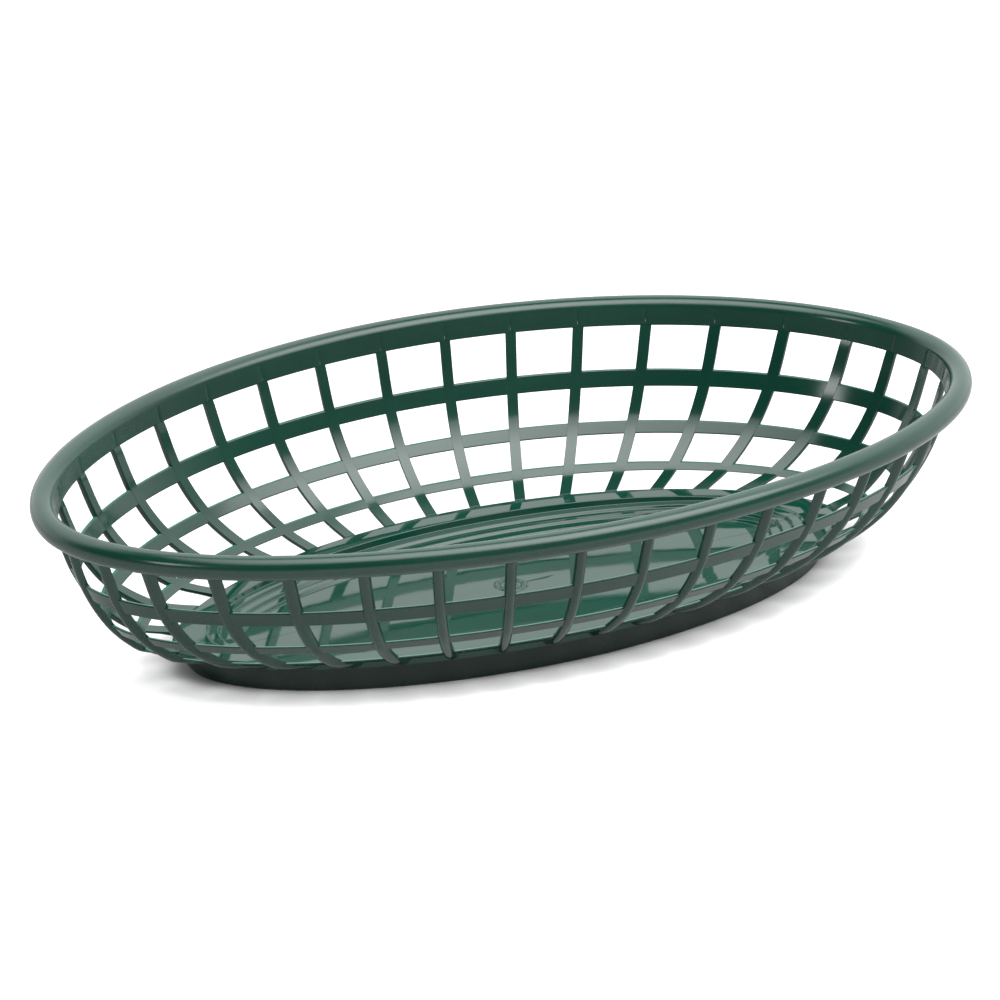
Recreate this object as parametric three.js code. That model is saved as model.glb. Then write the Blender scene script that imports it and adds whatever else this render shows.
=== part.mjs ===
// Oval food basket: an open grille of ribs and hoops between a rolled rim and a stepped floor.
// Millimetres, +Z up, +X along the length. The origin is under the middle of the foot, on the
// surface that the basket stands on.
import * as THREE from 'three';

// Rim: the outline of the mouth in plan, which every level of the wall runs parallel to
const rimHalfLength = 120;
const rimHalfWidth = 70.7;
const rimFullness = 1.92; // power of the oval: 2 is an ellipse, less is more pointed
const rimHeight = 47.6; // top of the bead half way along the sides
const beadRadius = 2.85;
const beadFlatInset = 4.2; // the roll's flat back, where it joins the band

// The rim and hoops dip towards the two ends, and the floor's edge dips less
const endDroop = 3.1;
const floorEndDroop = 1.4;
const droopPower = 2.35;

// Band: the strip behind the roll, its inner face leaning out a little up to the rim
const bandInset = 6.6;
const bandDepth = 6.4; // from the top of the roll down to the band's lower edge
const bandDraft = 0.4;
const bandThickness = 2.1;
const bandBottomHeight = rimHeight - bandDepth;

// Floor: where the wall ends, inside the rim outline
const floorInset = 31.8;
const floorHeight = 8.2;
const floorHalfLength = rimHalfLength - floorInset;
const floorHalfWidth = rimHalfWidth - floorInset;

// Hoops: where each one's inner face lies inside the rim outline, its share of the rise from the
// floor to the band, its own height, and its depth out from that face. They are level above and
// below, and the ribs pass outside them.
const upperHoop = { inset: 10.6, rise: 0.64, height: 2.65, depth: 1.9 };
const middleHoop = { inset: 16.8, rise: 0.332, height: 2, depth: 2.2 };
const lowerHoop = { inset: 25, rise: 0.108, height: 1, depth: 2.3 };
const hoops = [upperHoop, middleHoop, lowerHoop];

// Ribs: straight in plan. In one quarter, mirrored to the others, each starts under the band at
// a plan angle of the outline and is aimed along another, both in degrees from the long axis.
const ribQuarter = [
  { at: 0, aim: 0 },
  { at: 12, aim: 3.4 },
  { at: 22.6, aim: 8.3 },
  { at: 33.8, aim: 19.3 },
  { at: 44.3, aim: 30.2 },
  { at: 54.1, aim: 41.8 },
  { at: 63.4, aim: 54.1 },
  { at: 72.2, aim: 66 },
  { at: 80.9, aim: 77.8 },
  { at: 90, aim: 90 },
];
const halfTurn = 180; // degrees
const ribWidth = 2.8;
const ribOuterWidth = 1.6;
const ribTopDepth = 2.6;
const ribFootDepth = 2.3;
const edgeRound = 0.45; // softened outer edges of the ribs and hoops

// Floor plate: a landing ring for the ribs, then oval steps down to a flat middle
const plateThickness = 1.9;
const landingAtEnds = 9.7; // how wide the landing ring is at the two ends
const landingAtSides = 5.7;
const firstStepDrop = 1.6;
const stepDrop = 0.66;
const stepTread = 2.8;
const stepSlope = 0.5; // how far each riser leans in from its top edge to its foot
const stepCount = 4;
const ovalFullness = 1.91;
const gateMarkRadius = 4.1;
const gateMarkCrown = 2.9; // radius of its flat top
const gateMarkHeight = 0.3;

// Foot: the skirt that the basket stands on, tapering down and in to its own oval
const footSetInAtEnds = 5.2;
const footSetInAtSides = 2.4;
const footHalfLength = floorHalfLength - footSetInAtEnds;
const footHalfWidth = floorHalfWidth - footSetInAtSides;
const footLedge = 1; // how far the skirt's top is set in under the floor's edge
const footWall = 2.2;

// Space kept between pieces that meet
const seam = 0.3;

// Fineness of the faceting
const planSteps = 72;
const beadSides = 12;
const crossingReach = Math.PI / 5; // how far round the wall a rib's crossing is looked for
const crossingHalvings = 40;

function hoopHeight({ rise }) {
  return THREE.MathUtils.lerp(floorHeight, bandBottomHeight, rise);
}

// The rim outline and its outward direction, for a plan angle t
function rimOutline(t) {
  const cos = Math.cos(t);
  const sin = Math.sin(t);
  const power = 2 / rimFullness;
  const x = rimHalfLength * Math.sign(cos) * Math.abs(cos) ** power;
  const y = rimHalfWidth * Math.sign(sin) * Math.abs(sin) ** power;
  const outward = new THREE.Vector2(
    (Math.sign(x) * Math.abs(x / rimHalfLength) ** (rimFullness - 1)) / rimHalfLength,
    (Math.sign(y) * Math.abs(y / rimHalfWidth) ** (rimFullness - 1)) / rimHalfWidth,
  ).normalize();
  return { point: new THREE.Vector2(x, y), outward };
}

// The outline parallel to the rim and a distance inside it
function outlinePoint(t, inset) {
  const { point, outward } = rimOutline(t);
  return point.addScaledVector(outward, -inset);
}

// How far a level has dipped at plan angle t: all of it down to the lower hoop, less at the floor
function droop(t, height) {
  const reach = Math.abs(rimOutline(t).point.x / rimHalfLength) ** droopPower;
  const share = (height - floorHeight) / (hoopHeight(lowerHoop) - floorHeight);
  const depth = THREE.MathUtils.lerp(floorEndDroop, endDroop, THREE.MathUtils.clamp(share, 0, 1));
  return reach * depth;
}

function wallPoint(t, inset, height) {
  const { x, y } = outlinePoint(t, inset);
  return new THREE.Vector3(x, y, height - droop(t, height));
}

// The wall's inner face in section, from the band down to the floor: x is inset, y is height
const wallSection = new THREE.SplineCurve([
  new THREE.Vector2(bandInset, bandBottomHeight),
  ...hoops.map((hoop) => new THREE.Vector2(hoop.inset, hoopHeight(hoop))),
  new THREE.Vector2(floorInset, floorHeight),
]);

// The section at a share of its way down: its point, the way out of the wall, how far it moves
// in for each millimetre that it drops, and how much of that way out is level
function sectionAt(share) {
  const along = wallSection.getTangent(share);
  const out = new THREE.Vector2(along.y, -along.x);
  return { point: wallSection.getPoint(share), out, slope: -along.x / along.y, levelness: -along.y };
}

// The share of the way down at which the section meets a hoop
function hoopShare(index) {
  return (index + 1) / (hoops.length + 1);
}

// An indexed geometry from points and faces, without the faces that have shrunk to a line
function closedGeometry(points, faces) {
  const sound = [];
  for (let face = 0; face < faces.length; face += 3) {
    const corners = faces.slice(face, face + 3);
    const [a, b, c] = corners.map((corner) => points[corner]);
    if (!a.equals(b) && !b.equals(c) && !c.equals(a)) sound.push(...corners);
  }
  const positions = points.flatMap((point) => point.toArray());
  return new THREE.BufferGeometry()
    .setAttribute('position', new THREE.Float32BufferAttribute(positions, 3))
    .setIndex(sound);
}

// A closed geometry from rows of points. Each row is a loop of as many points, and the rows
// either close on themselves or are shut by a flat cap at each end.
function rowsGeometry(rows, closed) {
  const loop = rows[0].length;
  const faces = [];
  const at = (row, place) => (row % rows.length) * loop + (place % loop);
  const lastRow = closed ? rows.length : rows.length - 1;
  for (let row = 0; row < lastRow; row += 1) {
    for (let place = 0; place < loop; place += 1) {
      faces.push(at(row, place), at(row + 1, place), at(row + 1, place + 1));
      faces.push(at(row, place), at(row + 1, place + 1), at(row, place + 1));
    }
  }
  if (!closed) {
    for (let place = 1; place < loop - 1; place += 1) {
      faces.push(at(0, 0), at(0, place), at(0, place + 1));
      const end = rows.length - 1;
      faces.push(at(end, 0), at(end, place + 1), at(end, place));
    }
  }
  return closedGeometry(rows.flat(), faces);
}

// A ring that follows the wall all the way round. Its section is a list of [inset, height] pairs
// that climbs on the outside of the ring and comes down on the inside.
function wallRing(section) {
  const rows = [];
  for (let step = 0; step < planSteps; step += 1) {
    const t = (step / planSteps) * 2 * Math.PI;
    rows.push(section.map(([inset, height]) => wallPoint(t, inset, height)));
  }
  return rowsGeometry(rows, true);
}

// Rim bead: a round roll with a flat back
function rimBead() {
  const centreHeight = rimHeight - beadRadius;
  const backAngle = Math.acos((beadFlatInset - beadRadius) / beadRadius);
  const section = [];
  for (let side = 0; side < beadSides; side += 1) {
    const turn = -backAngle - (side / (beadSides - 1)) * (2 * Math.PI - 2 * backAngle);
    section.push([
      beadRadius + beadRadius * Math.cos(turn),
      centreHeight + beadRadius * Math.sin(turn),
    ]);
  }
  return wallRing(section);
}

// Rim band: the strip behind the bead, level with the roll's top and reaching below it
function rimBand() {
  const outerInset = beadFlatInset + seam;
  const centreHeight = rimHeight - beadRadius;
  const innerTop = bandInset - bandDraft;
  const crown = centreHeight + Math.sqrt(beadRadius ** 2 - (outerInset - beadRadius) ** 2);
  const shoulder = (innerTop - outerInset) / 2;
  return wallRing([
    [bandInset - bandThickness, bandBottomHeight],
    [outerInset, crown],
    [innerTop - shoulder, crown],
    [innerTop, crown - shoulder],
    [bandInset, bandBottomHeight],
  ]);
}

// Hoop: its inner and outer faces lean with the wall, its top and bottom are level, and its two
// outer edges are softened
function hoopRing(index) {
  const { height, depth } = hoops[index];
  const { point, slope } = sectionAt(hoopShare(index));
  const corners = [
    [-height / 2, 0],
    [-height / 2, depth - edgeRound],
    [edgeRound - height / 2, depth],
    [height / 2 - edgeRound, depth],
    [height / 2, depth - edgeRound],
    [height / 2, 0],
  ];
  return wallRing(
    corners.map(([up, outward]) => [point.x - slope * up - outward, point.y + up]),
  );
}

// The plan angle where a rib's side, a straight line in plan, crosses the outline at an inset
function crossing(origin, direction, inset, near) {
  let low = near - crossingReach;
  let high = near + crossingReach;
  for (let halving = 0; halving < crossingHalvings; halving += 1) {
    const middle = (low + high) / 2;
    const across = outlinePoint(middle, inset).sub(origin);
    if (direction.cross(across) < 0) low = middle;
    else high = middle;
  }
  return (low + high) / 2;
}

// All the ribs, going round from the end at +X
function ribSettings() {
  const mirrored = ribQuarter.slice(1).reverse();
  const half = [
    ...ribQuarter.slice(0, -1),
    ...mirrored.map(({ at, aim }) => ({ at: halfTurn - at, aim: halfTurn - aim })),
  ];
  return [...half, ...half.map(({ at, aim }) => ({ at: halfTurn + at, aim: halfTurn + aim }))];
}

// The stations down a rib's section, the same for every rib. Each has the point on the wall's
// inner face, the way out, the rib's depth there, and how deep it is notched to let a hoop pass.
function ribStations() {
  const level = new THREE.Vector2(-1, 0);
  const depthAt = (share) => THREE.MathUtils.lerp(ribTopDepth, ribFootDepth, share);
  const plain = (share) => {
    const { point, out } = sectionAt(share);
    return { inner: point, out, depth: depthAt(share), notch: 0 };
  };
  const top = plain(0);
  top.inner.y -= seam;
  top.out = level;
  const stations = [top];
  hoops.forEach((hoop, index) => {
    const share = hoopShare(index);
    const { point, slope, levelness } = sectionAt(share);
    const edge = (side, notch) => {
      const up = side * (hoop.height / 2 + seam);
      const inner = new THREE.Vector2(point.x - slope * up, point.y + up);
      return { inner, out: level, depth: depthAt(share) / levelness, notch };
    };
    const notch = hoop.depth + seam;
    stations.push(plain(share - hoopShare(0) / 2));
    stations.push(edge(1, 0), edge(1, notch), edge(-1, notch), edge(-1, 0));
  });
  stations.push(plain(1 - hoopShare(0) / 2));
  const bottom = plain(1);
  bottom.inner.x -= seam;
  bottom.out.set(0, -1);
  stations.push(bottom);
  return stations;
}

// One rib, from the underside of the band to the edge of the floor, narrower outside than inside
function rib({ at, aim }, stations) {
  const near = THREE.MathUtils.degToRad(at);
  const way = THREE.MathUtils.degToRad(aim);
  const start = outlinePoint(near, bandInset);
  const direction = new THREE.Vector2(Math.cos(way), Math.sin(way));
  const sideways = new THREE.Vector2(-direction.y, direction.x);
  const rows = stations.map(({ inner, out, depth, notch }) => {
    const shoulder = depth - edgeRound;
    const corner = (side, halfWidth, deep) => {
      const { x: inset, y: height } = inner.clone().addScaledVector(out, deep);
      const origin = start.clone().addScaledVector(sideways, side * halfWidth);
      return wallPoint(crossing(origin, direction, inset, near), inset, height);
    };
    const backHalf = THREE.MathUtils.lerp(ribWidth, ribOuterWidth, notch / shoulder) / 2;
    const frontHalf = ribOuterWidth / 2;
    return [
      corner(-1, backHalf, notch),
      corner(-1, frontHalf, shoulder),
      corner(-1, frontHalf - edgeRound, depth),
      corner(1, frontHalf - edgeRound, depth),
      corner(1, frontHalf, shoulder),
      corner(1, backHalf, notch),
    ];
  });
  return rowsGeometry(rows, false);
}

// The floor's own oval in plan at a polar angle, from its half length and half width
function oval(angle, halfLength, halfWidth) {
  const across =
    Math.abs(Math.cos(angle) / halfLength) ** ovalFullness +
    Math.abs(Math.sin(angle) / halfWidth) ** ovalFullness;
  const radius = across ** (-1 / ovalFullness);
  return new THREE.Vector2(radius * Math.cos(angle), radius * Math.sin(angle));
}

function ovalPoint(angle, halfLength, halfWidth, height) {
  const { x, y } = oval(angle, halfLength, halfWidth);
  return new THREE.Vector3(x, y, height);
}

// Plan angles all the way round, each with the polar angle of the floor's edge there
function floorAngles() {
  const angles = [];
  for (let step = 0; step < planSteps; step += 1) {
    const t = (step / planSteps) * 2 * Math.PI;
    angles.push({ t, polar: outlinePoint(t, floorInset).angle() });
  }
  return angles;
}

// Heights and ovals of the floor's steps, outermost first: each has a top edge and a foot
function floorSteps() {
  const steps = [];
  let height = floorHeight;
  for (let step = 0; step < stepCount; step += 1) {
    const inward = step * stepTread;
    const drop = step === 0 ? firstStepDrop : stepDrop;
    const halfLength = floorHalfLength - landingAtEnds - inward;
    const halfWidth = floorHalfWidth - landingAtSides - inward;
    steps.push({ halfLength, halfWidth, top: height, bottom: height - drop });
    height -= drop;
  }
  return steps;
}

// Floor panel: one plate, its underside running parallel to the steps
function floorPanel() {
  const steps = floorSteps();
  const middleHeight = steps.at(-1).bottom;
  const underMiddle = middleHeight - plateThickness;
  const columns = floorAngles().map(({ t, polar }) => {
    const ringHeight = floorHeight - droop(t, floorHeight);
    const edge = (height) => wallPoint(t, floorInset, floorHeight).setZ(height);
    const ring = (step, inward, height) =>
      ovalPoint(polar, step.halfLength - inward, step.halfWidth - inward, height);
    const top = [edge(ringHeight)];
    const under = [edge(ringHeight - plateThickness)];
    steps.forEach((step, index) => {
      const height = index === 0 ? ringHeight : step.top;
      top.push(ring(step, 0, height), ring(step, stepSlope, step.bottom));
      under.push(ring(step, -stepSlope, height - plateThickness));
      under.push(ring(step, 0, step.bottom - plateThickness));
    });
    top.push(ovalPoint(polar, gateMarkRadius, gateMarkRadius, middleHeight));
    top.push(ovalPoint(polar, gateMarkCrown, gateMarkCrown, middleHeight + gateMarkHeight));
    return [...under.reverse(), ...top];
  });
  return discGeometry(columns, underMiddle, middleHeight + gateMarkHeight);
}

// A disc from columns of points, each running from near the middle of the underside, out round
// the edge and back to near the middle of the top
function discGeometry(columns, underHeight, topHeight) {
  const column = columns[0].length;
  const points = columns.flat();
  const under = points.push(new THREE.Vector3(0, 0, underHeight)) - 1;
  const top = points.push(new THREE.Vector3(0, 0, topHeight)) - 1;
  const at = (step, place) => (step % columns.length) * column + place;
  const faces = [];
  columns.forEach((_, step) => {
    for (let place = 0; place < column - 1; place += 1) {
      faces.push(at(step, place), at(step + 1, place), at(step + 1, place + 1));
      faces.push(at(step, place), at(step + 1, place + 1), at(step, place + 1));
    }
    faces.push(under, at(step + 1, 0), at(step, 0));
    faces.push(top, at(step, column - 1), at(step + 1, column - 1));
  });
  return closedGeometry(points, faces);
}

// Foot ring: the skirt, parallel to the floor's edge at its top and a fuller oval at its foot
function footRing() {
  const topInset = floorInset + footLedge;
  const rows = floorAngles().map(({ t, polar }) => {
    const height = floorHeight - droop(t, floorHeight) - plateThickness - seam;
    return [
      ovalPoint(polar, footHalfLength - footWall, footHalfWidth - footWall, 0),
      ovalPoint(polar, footHalfLength, footHalfWidth, 0),
      wallPoint(t, topInset, floorHeight).setZ(height),
      wallPoint(t, topInset + footWall, floorHeight).setZ(height),
    ];
  });
  return rowsGeometry(rows, true);
}

// One moulding in one colour: a dark, slightly glossy green plastic
const plastic = { color: '#1f4f3c', roughness: 0.32, metalness: 0 };

const basket = new THREE.Group();

function addPiece(name, geometry, finish) {
  geometry.computeVertexNormals();
  const mesh = new THREE.Mesh(geometry, new THREE.MeshStandardMaterial(finish));
  mesh.name = name;
  basket.add(mesh);
}

addPiece('rim_bead', rimBead(), plastic);
addPiece('rim_band', rimBand(), plastic);
['upper_hoop', 'middle_hoop', 'lower_hoop'].forEach((name, index) => {
  addPiece(name, hoopRing(index), plastic);
});
const stations = ribStations();
ribSettings().forEach((setting, index) => {
  addPiece(`rib_${String(index + 1).padStart(2, '0')}`, rib(setting, stations), plastic);
});
addPiece('floor_panel', floorPanel(), plastic);
addPiece('foot_ring', footRing(), plastic);

export default basket;
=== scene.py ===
import math

import bmesh
import bpy
from mathutils import Matrix, Vector


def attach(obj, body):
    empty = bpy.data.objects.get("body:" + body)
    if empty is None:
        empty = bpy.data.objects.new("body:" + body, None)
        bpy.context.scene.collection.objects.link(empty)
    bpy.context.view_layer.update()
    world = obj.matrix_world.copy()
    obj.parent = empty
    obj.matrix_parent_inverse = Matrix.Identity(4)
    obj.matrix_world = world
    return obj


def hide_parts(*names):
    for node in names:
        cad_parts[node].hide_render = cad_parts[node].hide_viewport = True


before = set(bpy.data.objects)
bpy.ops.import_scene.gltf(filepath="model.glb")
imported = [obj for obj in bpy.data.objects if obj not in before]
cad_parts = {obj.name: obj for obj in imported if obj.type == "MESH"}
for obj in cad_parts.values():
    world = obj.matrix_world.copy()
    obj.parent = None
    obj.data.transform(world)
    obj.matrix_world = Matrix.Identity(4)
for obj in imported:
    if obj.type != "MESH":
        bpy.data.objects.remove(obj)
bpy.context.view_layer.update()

mm = 0.001

print("stage: camera")

# where the photograph was taken from, in degrees and millimetres
viewPoint = {
    "azimuth": -28.97,
    "elevation": 22.58,
    "distance": 1638.53,
    "slideRight": 2.56,
    "slideUp": -24.22,
    "lens": 250.86,
    "sensor": 36,
    "clip": (0.05, 50),  # metres
}


def addCamera(v):
    az, el = math.radians(v["azimuth"]), math.radians(v["elevation"])
    back = Vector((math.sin(az) * math.cos(el), -math.cos(az) * math.cos(el), math.sin(el)))
    right = Vector((math.cos(az), math.sin(az), 0))
    up = back.cross(right)
    place = (back * v["distance"] - right * v["slideRight"] - up * v["slideUp"]) * mm
    data = bpy.data.cameras.new("photoCamera")
    data.lens = v["lens"]
    data.sensor_width = v["sensor"]
    data.clip_start, data.clip_end = v["clip"]
    camera = bpy.data.objects.new("photoCamera", data)
    turn = Matrix((right, up, back)).transposed().to_4x4()
    camera.matrix_world = Matrix.Translation(place) @ turn
    bpy.context.scene.collection.objects.link(camera)
    bpy.context.scene.camera = camera


addCamera(viewPoint)

print("stage: outline of the wall")

# the mouth's outline in plan, and how far each level dips at the two ends
outline = {
    "halfLength": 120.0,
    "halfWidth": 70.7,
    "fullness": 1.92,
    "height": 47.6,
    "endDip": 3.1,
    "floorEndDip": 1.4,
    "dipPower": 2.35,
    "steps": 360,
}

# the wall's inner face, top to bottom: distance inside the outline, and height
wallLevels = [(6.6, 41.2), (10.6, 29.32), (16.8, 19.156), (25.0, 11.764), (31.8, 8.2)]


def outlinePoint(t, inset):
    a, b, n = outline["halfLength"], outline["halfWidth"], outline["fullness"]
    c, s = math.cos(t), math.sin(t)
    x = a * math.copysign(abs(c) ** (2 / n), c)
    y = b * math.copysign(abs(s) ** (2 / n), s)
    gx = math.copysign(abs(x / a) ** (n - 1), x) / a
    gy = math.copysign(abs(y / b) ** (n - 1), y) / b
    size = math.hypot(gx, gy)
    return Vector((x - inset * gx / size, y - inset * gy / size))


def dipAt(t, height):
    reach = abs(math.cos(t)) ** (2 / outline["fullness"] * outline["dipPower"])
    floorLevel, lowerLevel = wallLevels[-1][1], wallLevels[-2][1]
    share = min(max((height - floorLevel) / (lowerLevel - floorLevel), 0), 1)
    return reach * (outline["floorEndDip"] + share * (outline["endDip"] - outline["floorEndDip"]))


def wallPoint(t, inset, height):
    p = outlinePoint(t, inset)
    return Vector((p.x, p.y, height - dipAt(t, height)))


# a smooth curve through the wall's levels, the share running 0 at the band to 1 at the floor
def wallCurve(share):
    spans = len(wallLevels) - 1
    spot = min(max(share, 0), 1) * spans
    k = min(int(spot), spans - 1)
    w = spot - k
    p = [Vector(wallLevels[min(max(k + d, 0), spans)]) for d in (-1, 0, 1, 2)]
    m1, m2 = (p[2] - p[0]) * 0.5, (p[3] - p[1]) * 0.5
    return ((2 * p[1] - 2 * p[2] + m1 + m2) * w ** 3
            + (-3 * p[1] + 3 * p[2] - 2 * m1 - m2) * w ** 2 + m1 * w + p[1])


wallStep = 0.001  # share of the way down over which its slope is taken


def wallDown(share):
    return (wallCurve(share + wallStep / 2) - wallCurve(share - wallStep / 2)).normalized()


def outOf(down):
    return Vector((down.y, -down.x))  # square to the wall, towards its outside


# corners rounded off in a closed section: each corner is x, y and its radius
def roundedSection(corners, parts=4):
    mostOfSide = 0.49  # share of a side that one corner may take
    points = []
    count = len(corners)
    for k in range(count):
        x, y, radius = corners[k]
        here = Vector((x, y))
        before = Vector(corners[k - 1][:2]) - here
        after = Vector(corners[(k + 1) % count][:2]) - here
        if radius <= 0:
            points.append(here)
            continue
        half = before.angle(after) / 2
        reach = min(radius / math.tan(half), before.length * mostOfSide, after.length * mostOfSide)
        a, b = here + before.normalized() * reach, here + after.normalized() * reach
        middle = here + (before.normalized() + after.normalized()).normalized() * (reach / math.cos(half))
        for part in range(parts + 1):
            w = part / parts
            arm = (a - middle) * (1 - w) + (b - middle) * w
            points.append(middle + arm.normalized() * (a - middle).length)
    return points


# a mesh object from rows of points in millimetres, each row a closed loop
def loftRows(name, rows, closed, material, node):
    mesh = bpy.data.meshes.new(name)
    bm = bmesh.new()
    loops = [[bm.verts.new(p * mm) for p in row] for row in rows]
    size = len(loops[0])
    for k in range(len(loops) if closed else len(loops) - 1):
        here, after = loops[k], loops[(k + 1) % len(loops)]
        for n in range(size):
            bm.faces.new((here[n], after[n], after[(n + 1) % size], here[(n + 1) % size]))
    if not closed:
        bm.faces.new(loops[0])
        bm.faces.new(loops[-1])
    bmesh.ops.recalc_face_normals(bm, faces=bm.faces)
    for face in bm.faces:
        face.smooth = True
    bm.to_mesh(mesh)
    bm.free()
    return placePiece(name, mesh, material, node)


def placePiece(name, mesh, material, node):
    piece = bpy.data.objects.new(name, mesh)
    bpy.context.scene.collection.objects.link(piece)
    mesh.materials.append(material)
    shade = piece.modifiers.new("evenShading", "WEIGHTED_NORMAL")
    shade.keep_sharp = False
    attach(piece, "root")
    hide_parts(node)
    return piece


def ringAlongWall(name, section, material, node):
    rows = []
    for k in range(outline["steps"]):
        t = 2 * math.pi * k / outline["steps"]
        rows.append([wallPoint(t, inset, height) for inset, height in section])
    return loftRows(name, rows, True, material, node)


# where the ribs stand, one quarter mirrored to the others: where each starts on the outline and
# what it is aimed along, both in degrees from the long axis
ribQuarter = [(0, 0), (12, 3.4), (22.6, 8.3), (34.1, 19.6), (44.7, 31.6), (54.4, 43),
              (63.4, 54.1), (72.2, 66), (80.9, 77.8), (90, 90)]


def ribPlaces():
    half = ribQuarter[:-1] + [(180 - at, 180 - aim) for at, aim in reversed(ribQuarter[1:])]
    return half + [(180 + at, 180 + aim) for at, aim in half]


print("stage: green plastics")

# the moulding's colours, darker and lighter in its flow, a clearer green painted on faces that look up as
# painted top light, and paler where it is rubbed
greenPlastic = {
    "deep": (0.0028, 0.042, 0.027, 1),
    "light": (0.0042, 0.056, 0.036, 1),
    # crown is the clearer green of the painted top light, given to faces that look up
    "crown": (0.011, 0.17, 0.11, 1),
    "paintedTopLightFacing": (0.88, 0.98),  # how far up a surface has to face, at the start and in full
    "rubbed": (0.09, 0.16, 0.12, 1),
    "rubbedDuller": 0.3,
    "hairShare": 0.8,  # how much the hairlines dull the gloss, beside the haze
    "ior": 1.57,
}

# noise for each pattern: scale, detail, roughness and stretch, and the span of it that is used
plasticPatterns = {
    "clouds": {"noise": (26, 3, 0.55, (1, 1.6, 3)), "span": (0.35, 0.68)},
    "specks": {"noise": (1400, 2, 0.5, (1, 1, 1)), "span": (0.45, 0.75)},
    "haze": {"noise": (48, 5, 0.6, (1, 1, 1)), "span": (0.4, 0.7)},
    "hairlines": {"noise": (260, 4, 0.7, (1, 14, 1)), "span": (0.62, 0.72)},
    "rubbing": {"noise": (700, 4, 0.7, (1, 1, 1)), "span": (0.42, 0.6)},
    "ripple": {"noise": (70, 2, 0.4, (1, 1, 1))},
    "grain": {"noise": (1100, 3, 0.6, (1, 1, 1))},
}
cloudShare = 0.75  # of the change of colour, the specks making the rest


# gloss and its spread are roughness values, ripple and grain depths in millimetres
def mouldedPlastic(name, gloss, glossSpread, ripple, grain, rubbedBelow=None, paintedShade=1.0, paintedTopLight=False):
    material = bpy.data.materials.new(name)
    material.use_nodes = True
    nodes, links = material.node_tree.nodes, material.node_tree.links
    shader = nodes["Principled BSDF"]
    shader.inputs["IOR"].default_value = greenPlastic["ior"]
    place = nodes.new("ShaderNodeTexCoord")

    def noise(pattern):
        scale, detail, rough, stretch = plasticPatterns[pattern]["noise"]
        spread = nodes.new("ShaderNodeMapping")
        spread.inputs["Scale"].default_value = stretch
        texture = nodes.new("ShaderNodeTexNoise")
        texture.inputs["Scale"].default_value = scale
        texture.inputs["Detail"].default_value = detail
        texture.inputs["Roughness"].default_value = rough
        links.new(place.outputs["Object"], spread.inputs["Vector"])
        links.new(spread.outputs["Vector"], texture.inputs["Vector"])
        return texture.outputs["Fac"]

    def fit(value, low, high, toLow, toHigh):
        ranger = nodes.new("ShaderNodeMapRange")
        for key, number in (("From Min", low), ("From Max", high), ("To Min", toLow), ("To Max", toHigh)):
            ranger.inputs[key].default_value = number
        links.new(value, ranger.inputs["Value"])
        return ranger.outputs["Result"]

    def shown(pattern, toLow, toHigh):
        return fit(noise(pattern), *plasticPatterns[pattern]["span"], toLow, toHigh)

    def add(first, second):
        plus = nodes.new("ShaderNodeMath")
        links.new(first, plus.inputs[0])
        links.new(second, plus.inputs[1])
        return plus.outputs["Value"]

    # flow of the pigment: broad clouds with finer specks over them
    clouds = shown("clouds", 0, cloudShare)
    specks = shown("specks", 0, 1 - cloudShare)
    colour = nodes.new("ShaderNodeMix")
    colour.data_type = "RGBA"
    # paintedShade darkens both greens, as painted shade for a part that stands in shadow
    colour.inputs["A"].default_value = tuple(c * paintedShade for c in greenPlastic["deep"][:3]) + (1,)
    colour.inputs["B"].default_value = tuple(c * paintedShade for c in greenPlastic["light"][:3]) + (1,)
    links.new(add(clouds, specks), colour.inputs["Factor"])
    shadeOut = colour.outputs["Result"]

    if paintedTopLight:
        # painted top light: faces that look up, such as the rounded crowns, are painted a clearer green for
        # the light falling on them from above
        facing = nodes.new("ShaderNodeNewGeometry")
        upward = nodes.new("ShaderNodeSeparateXYZ")
        links.new(facing.outputs["Normal"], upward.inputs["Vector"])
        crown = nodes.new("ShaderNodeMix")
        crown.data_type = "RGBA"
        crown.inputs["B"].default_value = greenPlastic["crown"]
        links.new(shadeOut, crown.inputs["A"])
        paintedTopLightShare = fit(upward.outputs["Z"], *greenPlastic["paintedTopLightFacing"], 0, 1)
        links.new(paintedTopLightShare, crown.inputs["Factor"])
        shadeOut = crown.outputs["Result"]

    # gloss: handling haze in soft patches, and hairlines where things have slid
    haze = shown("haze", gloss, gloss + glossSpread)
    hairlines = shown("hairlines", 0, glossSpread * greenPlastic["hairShare"])
    dullness = add(haze, hairlines)

    if rubbedBelow:
        # the resting edge is rubbed paler and duller
        split = nodes.new("ShaderNodeSeparateXYZ")
        links.new(place.outputs["Object"], split.inputs["Vector"])
        low = fit(split.outputs["Z"], rubbedBelow * mm, 0, 0, 1)
        patch = shown("rubbing", 0, 1)
        both = nodes.new("ShaderNodeMath")
        both.operation = "MULTIPLY"
        links.new(low, both.inputs[0])
        links.new(patch, both.inputs[1])
        rub = nodes.new("ShaderNodeMix")
        rub.data_type = "RGBA"
        rub.inputs["B"].default_value = greenPlastic["rubbed"]
        links.new(shadeOut, rub.inputs["A"])
        links.new(both.outputs["Value"], rub.inputs["Factor"])
        shadeOut = rub.outputs["Result"]
        dullness = add(dullness, fit(both.outputs["Value"], 0, 1, 0, greenPlastic["rubbedDuller"]))

    links.new(shadeOut, shader.inputs["Base Color"])
    links.new(dullness, shader.inputs["Roughness"])

    # sink and ripple of the cooled skin, then the fine grain of the mould steel
    wave = nodes.new("ShaderNodeBump")
    wave.inputs["Strength"].default_value = 1
    wave.inputs["Distance"].default_value = ripple * mm
    links.new(noise("ripple"), wave.inputs["Height"])
    fine = nodes.new("ShaderNodeBump")
    fine.inputs["Strength"].default_value = 1
    fine.inputs["Distance"].default_value = grain * mm
    links.new(noise("grain"), fine.inputs["Height"])
    links.new(wave.outputs["Normal"], fine.inputs["Normal"])
    links.new(fine.outputs["Normal"], shader.inputs["Normal"])
    return material


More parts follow.
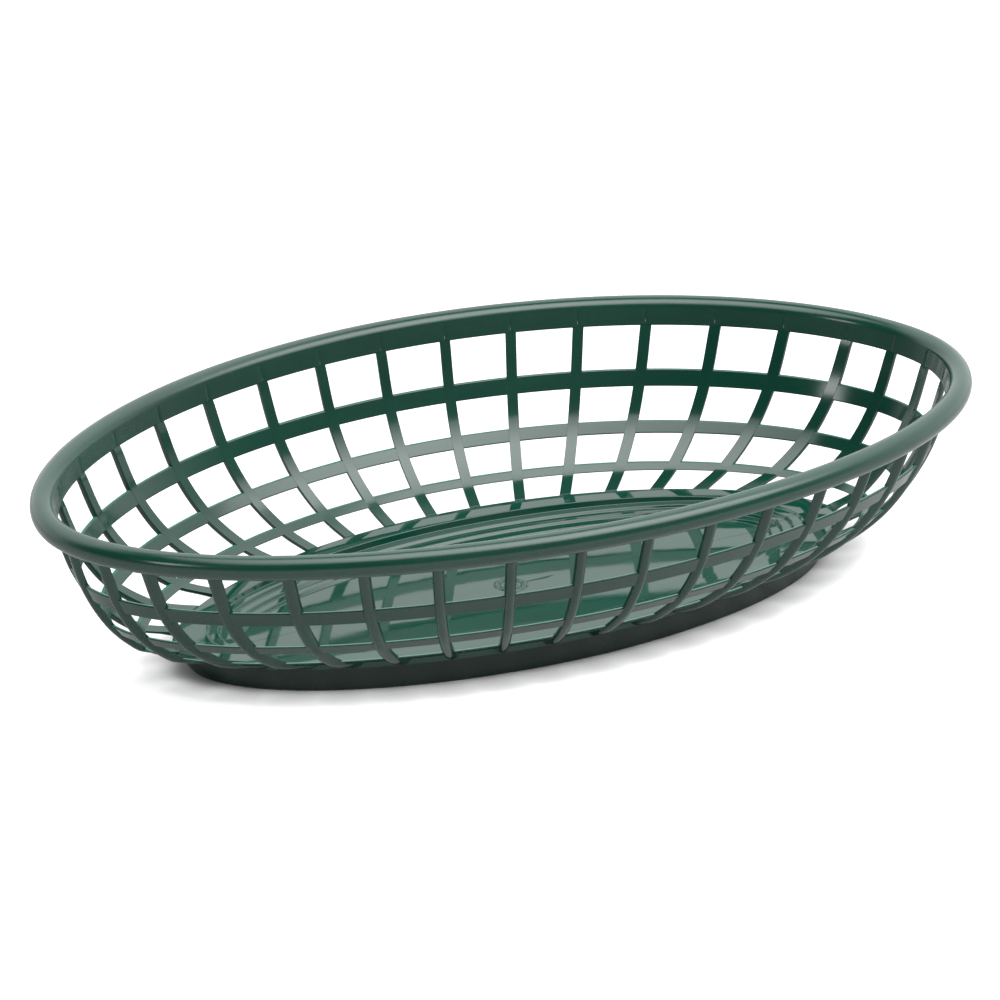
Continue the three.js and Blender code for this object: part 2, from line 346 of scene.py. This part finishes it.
rollPlastic = mouldedPlastic("rimRollPlastic", gloss=0.18, glossSpread=0.07, ripple=0.09, grain=0.0015)
ribPlastic = mouldedPlastic("ribPlastic", gloss=0.1, glossSpread=0.05, ripple=0.03, grain=0.0015)
# the hoops carry painted top light on their upward faces
hoopPlastic = mouldedPlastic("hoopPlastic", gloss=0.12, glossSpread=0.06, ripple=0.03, grain=0.0015,
                             paintedTopLight=True)
floorPlastic = mouldedPlastic("polishedFloorPlastic", gloss=0.03, glossSpread=0.03, ripple=0.035,
                              grain=0.0006)
# the foot is painted darker, as painted shade for the shadow it stands in under the overhanging wall
footPlastic = mouldedPlastic("footPlastic", gloss=0.2, glossSpread=0.1, ripple=0.03, grain=0.003,
                             rubbedBelow=0.5, paintedShade=0.45)

print("stage: rim")

# the roll's middle lies this far inside the outline and this far down from the top
rimRoll = {"radius": 2.82, "middle": 2.88, "down": 2.85, "sides": 48}

rimBand = {
    "bottom": 41.2,
    "inset": 6.6,
    "thickness": 2.1,
    "back": (3.6, 44.5),  # inset and height of the corner at its back, inside the roll
    "intoRoll": 1.0,  # how far its top runs on into the roll
    "shoulderRound": 0.05,
    "innerRound": 0.3,
    "outerRound": 0.35,
    "lineWidth": 0.3,
    "lineDepth": 0.3,
    "lineRoom": 0.4,  # degrees on each side of a line that no other column comes into
}


def rimRollSection(r):
    points = []
    for k in range(r["sides"]):
        turn = -2 * math.pi * k / r["sides"]
        points.append((r["middle"] + r["radius"] * math.cos(turn),
                       outline["height"] - r["down"] + r["radius"] * math.sin(turn)))
    return points


# where the band's inner face runs smoothly into the roll
def bandShoulder(b, r):
    centre = Vector((r["middle"], outline["height"] - r["down"]))
    way = Vector((b["inset"], b["bottom"])) - centre
    turn = math.atan2(way.y, way.x) + math.acos(r["radius"] / way.length)
    return centre + Vector((math.cos(turn), math.sin(turn))) * r["radius"]


# the band, with a fine upright line sunk in its inner face over each rib, left by the mould
def addBand(b, r):
    shoulder = bandShoulder(b, r)
    section = roundedSection([
        (b["inset"] - b["thickness"], b["bottom"], b["outerRound"]),
        (*b["back"], 0),
        (shoulder.x - b["intoRoll"], shoulder.y, 0),
        (shoulder.x, shoulder.y, b["shoulderRound"]),
        (b["inset"], b["bottom"], b["innerRound"]),
    ])
    innerFace = shoulder.x - b["shoulderRound"] * 2  # what lies further in than this is sunk
    places = [math.radians(at) for at, aim in ribPlaces()]
    columns = []
    for t in places:
        radius = max(outline["halfWidth"], abs(math.sin(t)) * outline["halfLength"])
        aside = b["lineWidth"] / 2 / radius
        columns += [(t - aside, 0), (t, b["lineDepth"]), (t + aside, 0)]
    for k in range(outline["steps"]):
        t = 2 * math.pi * k / outline["steps"]
        if min(abs(t - place) for place in places + [2 * math.pi]) > math.radians(b["lineRoom"]):
            columns.append((t, 0))
    rows = []
    for t, sunk in sorted(columns):
        rows.append([wallPoint(t, inset - (sunk if inset > innerFace else 0), height)
                     for inset, height in section])
    loftRows("rimBand", rows, True, rollPlastic, "rim_band")


ringAlongWall("rimRoll", rimRollSection(rimRoll), rollPlastic, "rim_bead")
addBand(rimBand, rimRoll)

print("stage: hoops")

# place is the hoop's share of the way down the wall, lift how far its middle lies above that.
# Its two faces lean with the wall, crown rounds its two top edges and foot its two lower ones.
hoops = {
    "upperHoop": {"node": "upper_hoop", "place": 0.25, "lift": -0.17, "height": 3.9, "depth": 0.95,
                  "crown": 0.46, "foot": 0.3},
    "middleHoop": {"node": "middle_hoop", "place": 0.5, "lift": -0.35, "height": 2.6, "depth": 0.95,
                   "crown": 0.46, "foot": 0.3},
    "lowerHoop": {"node": "lower_hoop", "place": 0.75, "lift": -0.05, "height": 1.6, "depth": 1.0,
                  "crown": 0.45, "foot": 0.3},
}


def hoopSection(h):
    spot, down = wallCurve(h["place"]), wallDown(h["place"])
    slope = -down.x / down.y
    half = h["height"] / 2

    def corner(up, out, radius):
        return spot.x - slope * (up + h["lift"]) - out, spot.y + up + h["lift"], radius

    return roundedSection([
        corner(half, 0, h["crown"]), corner(half, h["depth"], h["crown"]),
        corner(-half, h["depth"], h["foot"]), corner(-half, 0, h["foot"])])


for hoopName, hoop in hoops.items():
    ringAlongWall(hoopName, hoopSection(hoop), hoopPlastic, hoop["node"])

print("stage: ribs")

ribs = {
    "width": 2.75,
    "depth": 1.55,
    "shank": 0.15,  # depth of the straight sides, before the outer side turns round
    "edgeTurn": 0.12,  # rounding of the two inner edges
    "roundness": 12,  # points round the outer side
    "proud": 0.02,  # how far their flat faces stand inside those of the hoops
    "stations": 44,
    "topShift": (-0.63, 1.6),  # from the band's lower edge to the rib's end, hidden in the band
    "topSunk": 0.07,  # how far it stands back where it comes out of the band
    "topSunkShare": 0.05,  # share of the way down over which it comes forward again
    "topTurnShare": 0.1,  # share of the way down over which it turns square to the wall
    "footShift": (1.4, -0.06),  # from the wall's foot to the rib's end, hidden in the floor
    "footThinner": 0.5,
}
crossingReach = 0.63  # how far round the outline a crossing is looked for, in radians
crossingHalvings = 34


# where a line in plan crosses the outline that lies an inset inside the rim
def crossing(origin, direction, inset, near):
    low, high = near - crossingReach, near + crossingReach
    for k in range(crossingHalvings):
        middle = (low + high) / 2
        across = outlinePoint(middle, inset) - origin
        if direction.x * across.y - direction.y * across.x < 0:
            low = middle
        else:
            high = middle
    return (low + high) / 2


# stations down one rib: point on the inner face, the way out and the depth
def ribStations(r):
    top = Vector(wallLevels[0])
    level = Vector((-1, 0))
    tilt = r["topTurnShare"]
    stations = [(top + Vector(r["topShift"]), level, r["depth"])]
    for k in range(r["stations"] + 1):
        share = k / r["stations"]
        out = outOf(wallDown(min(share, 1 - wallStep)))
        turned = (level * max(0, tilt - share) + out * min(share, tilt)).normalized()
        sunk = r["topSunk"] * max(0, 1 - share / r["topSunkShare"]) - r["proud"]
        stations.append((wallCurve(share) + turned * sunk, turned, r["depth"]))
    end = Vector(wallLevels[-1])
    stations.append((end + Vector(r["footShift"]), Vector((0, -1)), r["depth"] - r["footThinner"]))
    return stations


def addRib(index, at, aim, r):
    near, way = math.radians(at), math.radians(aim)
    start = outlinePoint(near, wallLevels[0][0])
    direction = Vector((math.cos(way), math.sin(way)))
    sideways = Vector((-direction.y, direction.x))
    square = (start - outlinePoint(near, wallLevels[0][0] + 1)).dot(direction)
    half = r["width"] * square / 2  # ribs that meet the wall askew are no wider on its face

    # flat to the inside, half an oval to the outside
    def row(spot, out, depth):
        corners = [(-half, 0, r["edgeTurn"]), (-half, r["shank"], 0)]
        for k in range(1, r["roundness"]):
            turn = math.pi * (1 - k / r["roundness"])
            corners.append((half * math.cos(turn), r["shank"] + (depth - r["shank"]) * math.sin(turn), 0))
        corners += [(half, r["shank"], 0), (half, 0, r["edgeTurn"])]
        points = []
        for p in roundedSection(corners):
            inset, height = spot + out * p.y
            t = crossing(start + sideways * p.x, direction, inset, near)
            points.append(wallPoint(t, inset, height))
        return points

    number = "%02d" % (index + 1)
    rows = [row(*station) for station in ribStations(r)]
    loftRows("rib" + number, rows, False, ribPlastic, "rib_" + number)


for index, (at, aim) in enumerate(ribPlaces()):
    addRib(index, at, aim, ribs)

print("stage: floor")

floorPlate = {
    "thickness": 1.9,
    "landingAtEnds": 9.7,
    "landingAtSides": 5.7,
    "firstDrop": 1.6,
    "drop": 0.66,
    "tread": 2.8,
    "slope": 0.5,
    "steps": 4,
    "fullness": 1.91,
    "edgeRadius": 0.22,
    "underMiddle": 3.0,  # radius at which the underside's middle face starts
    # radius and height of the round mark at the middle, from the flat about it inwards
    "gateMark": [(14, 0), (4.1, 0), (3.75, 0.3), (3.15, 0.3), (2.8, 0.06), (1.7, 0.06),
                 (1.35, 0.21), (0.5, 0.21)],
}


def ovalPoint(polar, halfLength, halfWidth, height):
    n = floorPlate["fullness"]
    c, s = math.cos(polar), math.sin(polar)
    radius = (abs(c / halfLength) ** n + abs(s / halfWidth) ** n) ** (-1 / n)
    return Vector((radius * c, radius * s, height))


# a path of points with its corners turned by a small radius, the two ends kept
def softenedPath(path, radius, parts=3):
    mostOfSide = 0.4
    points = [path[0]]
    for before, here, after in zip(path, path[1:], path[2:]):
        a, b = before - here, after - here
        reach = min(radius, a.length * mostOfSide, b.length * mostOfSide)
        p, q = here + a.normalized() * reach, here + b.normalized() * reach
        for k in range(parts + 1):
            w = k / parts
            points.append(p * (1 - w) ** 2 + here * 2 * w * (1 - w) + q * w ** 2)
    return points + [path[-1]]


def addFloor(f):
    inset, level = wallLevels[-1]
    halfLength = outline["halfLength"] - inset - f["landingAtEnds"]
    halfWidth = outline["halfWidth"] - inset - f["landingAtSides"]
    heights = [level, level - f["firstDrop"]]
    for k in range(1, f["steps"]):
        heights.append(heights[-1] - f["drop"])
    columns = []
    for k in range(outline["steps"]):
        t = 2 * math.pi * k / outline["steps"]
        edge = wallPoint(t, inset, level)
        polar = math.atan2(edge.y, edge.x)
        flat = edge.z

        def ring(step, inward, height):
            return ovalPoint(polar, halfLength - step * f["tread"] - inward,
                             halfWidth - step * f["tread"] - inward, height)

        top, under = [edge], [edge - Vector((0, 0, f["thickness"]))]
        for step in range(f["steps"]):
            above = flat if step == 0 else heights[step]
            below = heights[step + 1]
            top += [ring(step, 0, above), ring(step, f["slope"], below)]
            under += [ring(step, -f["slope"], above - f["thickness"]), ring(step, 0, below - f["thickness"])]
        middle = heights[-1]
        top += [ovalPoint(polar, size, size, middle + up) for size, up in f["gateMark"]]
        under.append(ovalPoint(polar, f["underMiddle"], f["underMiddle"], middle - f["thickness"]))
        columns.append(softenedPath(under[::-1] + top, f["edgeRadius"]))
    mesh = bpy.data.meshes.new("floorPlate")
    bm = bmesh.new()
    loops = [[bm.verts.new(p * mm) for p in column] for column in columns]
    for k, here in enumerate(loops):
        after = loops[(k + 1) % len(loops)]
        for n in range(len(here) - 1):
            bm.faces.new((here[n], after[n], after[n + 1], here[n + 1]))
    bm.faces.new([column[0] for column in loops])
    bm.faces.new([column[-1] for column in loops])
    bmesh.ops.recalc_face_normals(bm, faces=bm.faces)
    for face in bm.faces:
        face.smooth = True
    bm.to_mesh(mesh)
    bm.free()
    placePiece("floorPlate", mesh, floorPlastic, "floor_panel")


addFloor(floorPlate)

print("stage: foot")

footSkirt = {
    "halfLength": 83.0,
    "halfWidth": 36.5,
    "ledge": 1.0,  # how far its top is set in under the floor's edge
    "wall": 2.2,
    "intoFloor": 0.2,
    "rounds": (0.3, 0.4, 0.1, 0.1),  # inner and outer corner below, outer and inner above
}


def addFoot(f):
    inset, level = wallLevels[-1]
    rows = []
    for k in range(outline["steps"]):
        t = 2 * math.pi * k / outline["steps"]
        edge = wallPoint(t, inset, level)
        polar = math.atan2(edge.y, edge.x)
        top = edge.z - floorPlate["thickness"] + f["intoFloor"]
        corners = [
            ovalPoint(polar, f["halfLength"] - f["wall"], f["halfWidth"] - f["wall"], 0),
            ovalPoint(polar, f["halfLength"], f["halfWidth"], 0),
            wallPoint(t, inset + f["ledge"], level),
            wallPoint(t, inset + f["ledge"] + f["wall"], level),
        ]
        corners[2].z = corners[3].z = top
        side = Vector((math.cos(polar), math.sin(polar), 0))
        flatCorners = [(p.dot(side), p.z, radius) for p, radius in zip(corners, f["rounds"])]
        rows.append([Vector((side.x * p.x, side.y * p.x, p.y)) for p in roundedSection(flatCorners)])
    loftRows("footSkirt", rows, True, footPlastic, "foot_ring")


addFoot(footSkirt)

print("stage: table and light")

# the studio is laid out in metres, in a frame turned to the viewer: right, front and up
viewerTurn = math.radians(viewPoint["azimuth"])
viewerRight = Vector((math.cos(viewerTurn), math.sin(viewerTurn), 0))
viewerFront = Vector((math.sin(viewerTurn), -math.cos(viewerTurn), 0))

tableTop = {
    "colour": (0.45, 0.45, 0.45, 1),
    "roughness": 0.9,
    "shine": 0.1,
    "radius": 0.6,
    "sides": 96,
    "lift": (0.82, 1.0),  # glow that the camera sees over the lit table, near the basket and far off
    "liftReach": (0.16, 0.4),  # where near ends and far starts
    "mirrored": 0.22,  # share of that glow in what the plastic mirrors
    "contactShadowReach": 0.01,  # of the painted contact shadow where the foot meets the table
    "contactShadowPower": 2.7,
}


def addTable(t):
    mesh = bpy.data.meshes.new("table")
    bm = bmesh.new()
    bmesh.ops.create_circle(bm, cap_ends=True, segments=t["sides"], radius=t["radius"])
    bm.to_mesh(mesh)
    bm.free()
    table = bpy.data.objects.new("table", mesh)
    bpy.context.scene.collection.objects.link(table)
    material = bpy.data.materials.new("paleTable")
    material.use_nodes = True
    nodes, links = material.node_tree.nodes, material.node_tree.links
    shader = nodes["Principled BSDF"]
    shader.inputs["Base Color"].default_value = t["colour"]
    shader.inputs["Roughness"].default_value = t["roughness"]
    shader.inputs["Specular IOR Level"].default_value = t["shine"]
    shader.inputs["Emission Color"].default_value = (1, 1, 1, 1)
    # the table goes on as a white sweep, and a painted contact shadow darkens it where things stand close to
    # it
    path = nodes.new("ShaderNodeLightPath")
    place = nodes.new("ShaderNodeTexCoord")
    reach = nodes.new("ShaderNodeVectorMath")
    reach.operation = "LENGTH"
    links.new(place.outputs["Object"], reach.inputs[0])
    lift = nodes.new("ShaderNodeMapRange")
    lift.interpolation_type = "SMOOTHSTEP"
    for key, number in zip(("From Min", "From Max", "To Min", "To Max"), t["liftReach"] + t["lift"]):
        lift.inputs[key].default_value = number
    links.new(reach.outputs["Value"], lift.inputs["Value"])
    near = nodes.new("ShaderNodeAmbientOcclusion")
    near.inputs["Distance"].default_value = t["contactShadowReach"]

    def join(operation, first, second):
        both = nodes.new("ShaderNodeMath")
        both.operation = operation
        for socket, value in zip(both.inputs, (first, second)):
            if isinstance(value, float):
                socket.default_value = value
            else:
                links.new(value, socket)
        return both.outputs["Value"]

    paintedShadowClear = join("POWER", near.outputs["AO"], t["contactShadowPower"])
    mirrored = join("MULTIPLY", path.outputs["Is Glossy Ray"], t["mirrored"])
    seen = join("MAXIMUM", path.outputs["Is Camera Ray"], mirrored)
    glow = join("MULTIPLY", join("MULTIPLY", paintedShadowClear, seen), lift.outputs["Result"])
    links.new(glow, shader.inputs["Emission Strength"])
    mesh.materials.append(material)


# the softbox overhead, brightest round its hot spot. Its places and spreads are distances to the
# right and to the front.
softbox = {
    "from": (-0.45, -0.24),
    "to": (1.75, 0.78),
    "up": 1.0,
    "peak": 5.7,
    "hotSpot": (0.56, 0.17),
    "hotSpread": (0.75, 0.43),
}


def addSoftbox(s):
    (left, back), (right, front) = s["from"], s["to"]
    width, depth = right - left, front - back
    data = bpy.data.lights.new("softbox", "AREA")
    data.shape = "RECTANGLE"
    data.size, data.size_y = width, depth
    data.energy = math.pi * width * depth
    data.use_nodes = True
    nodes, links = data.node_tree.nodes, data.node_tree.links
    spot = nodes.new("ShaderNodeNewGeometry")
    offset = nodes.new("ShaderNodeVectorMath")
    offset.operation = "SUBTRACT"
    offset.inputs[1].default_value = ((s["hotSpot"][0] - left) / width, (front - s["hotSpot"][1]) / depth, 0)
    spread = nodes.new("ShaderNodeVectorMath")
    spread.operation = "MULTIPLY"
    spread.inputs[1].default_value = (width / s["hotSpread"][0], depth / s["hotSpread"][1], 0)
    square = nodes.new("ShaderNodeVectorMath")
    square.operation = "DOT_PRODUCT"
    fade = nodes.new("ShaderNodeMath")
    fade.operation = "POWER"
    fade.inputs[0].default_value = math.exp(-0.5)  # falls off as a bell curve does
    glow = nodes.new("ShaderNodeMath")
    glow.operation = "MULTIPLY"
    glow.inputs[1].default_value = s["peak"]
    links.new(spot.outputs["Parametric"], offset.inputs[0])
    links.new(offset.outputs["Vector"], spread.inputs[0])
    links.new(spread.outputs["Vector"], square.inputs[0])
    links.new(spread.outputs["Vector"], square.inputs[1])
    links.new(square.outputs["Value"], fade.inputs[1])
    links.new(fade.outputs["Value"], glow.inputs[0])
    links.new(glow.outputs["Value"], nodes["Emission"].inputs["Strength"])
    lamp = bpy.data.objects.new("softbox", data)
    middle = viewerRight * (left + right) / 2 + viewerFront * (back + front) / 2
    turn = Matrix((viewerRight, -viewerFront, Vector((0, 0, 1)))).transposed().to_4x4()
    lamp.matrix_world = Matrix.Translation(middle + Vector((0, 0, s["up"]))) @ turn
    lamp.visible_camera = False
    bpy.context.scene.collection.objects.link(lamp)


# a small bright lamp, low at the viewer's left: turn and rise in degrees
sideLamp = {"turn": 41.0, "rise": 24.0, "distance": 1.6, "size": 0.36, "peak": 6.0}


def addSideLamp(s):
    data = bpy.data.lights.new("sideLamp", "AREA")
    data.shape = "DISK"
    data.size = s["size"]
    data.energy = s["peak"] * math.pi ** 2 * (s["size"] / 2) ** 2
    lamp = bpy.data.objects.new("sideLamp", data)
    turn, rise = math.radians(s["turn"]), math.radians(s["rise"])
    level = viewerFront * math.cos(turn) - viewerRight * math.sin(turn)
    way = level * math.cos(rise) + Vector((0, 0, math.sin(rise)))
    lamp.location = way * s["distance"]
    lamp.rotation_euler = way.to_track_quat("Z", "Y").to_euler()
    lamp.visible_camera = False
    bpy.context.scene.collection.objects.link(lamp)


# a white backdrop behind the basket, a pale table edge low down and a dim room elsewhere: how
# bright each is, and between which directions it fades
room = {
    "backdrop": (1.27, 2.0),  # low down, and at its top
    "backdropRise": (0.35, 0.8),
    "backdropSides": (-0.35, 0.15),
    "backdropEnd": (0.8, 0.9),
    "farTable": 0.42,
    "farTableEdge": (0.04, 0.16),
    "dark": (0.06, 0.22),  # in front, and at the sides
    "darkSides": (0, 0.5),
}


def lightRoom(r):
    world = bpy.data.worlds.new("studioRoom")
    bpy.context.scene.world = world
    world.use_nodes = True
    nodes, links = world.node_tree.nodes, world.node_tree.links
    background = nodes["Background"]
    path = nodes.new("ShaderNodeLightPath")
    place = nodes.new("ShaderNodeTexCoord")

    def shadeBy(way, edges, low, high):
        along = nodes.new("ShaderNodeVectorMath")
        along.operation = "DOT_PRODUCT"
        along.inputs[1].default_value = way
        links.new(place.outputs["Generated"], along.inputs[0])
        ranger = nodes.new("ShaderNodeMapRange")
        ranger.interpolation_type = "SMOOTHSTEP"
        for key, number in zip(("From Min", "From Max", "To Min", "To Max"), (*edges, low, high)):
            ranger.inputs[key].default_value = number
        links.new(along.outputs["Value"], ranger.inputs["Value"])
        return ranger.outputs["Result"]

    upward = (0, 0, 1)
    behind = shadeBy(viewerFront, r["backdropSides"], 1, 0)
    lowDown = shadeBy(upward, r["backdropEnd"], 1, 0)
    backdrop = shadeBy(upward, r["backdropRise"], *r["backdrop"])
    level = shadeBy(upward, r["farTableEdge"], 1, 0)
    dim = shadeBy(viewerRight, r["darkSides"], *r["dark"])
    white = nodes.new("ShaderNodeMath")
    white.operation = "MULTIPLY"
    links.new(behind, white.inputs[0])
    links.new(lowDown, white.inputs[1])

    def blend(factor, first, second):
        mix = nodes.new("ShaderNodeMix")
        links.new(factor, mix.inputs["Factor"])
        for key, value in (("A", first), ("B", second)):
            if isinstance(value, float):
                mix.inputs[key].default_value = value
            else:
                links.new(value, mix.inputs[key])
        return mix.outputs["Result"]

    around = blend(white.outputs["Value"], blend(level, dim, r["farTable"]), backdrop)
    links.new(blend(path.outputs["Is Camera Ray"], around, 1.0), background.inputs["Strength"])
    background.inputs["Color"].default_value = (1, 1, 1, 1)


addTable(tableTop)
addSoftbox(softbox)
addSideLamp(sideLamp)
lightRoom(room)
bpy.context.scene.view_settings.view_transform = "Standard"
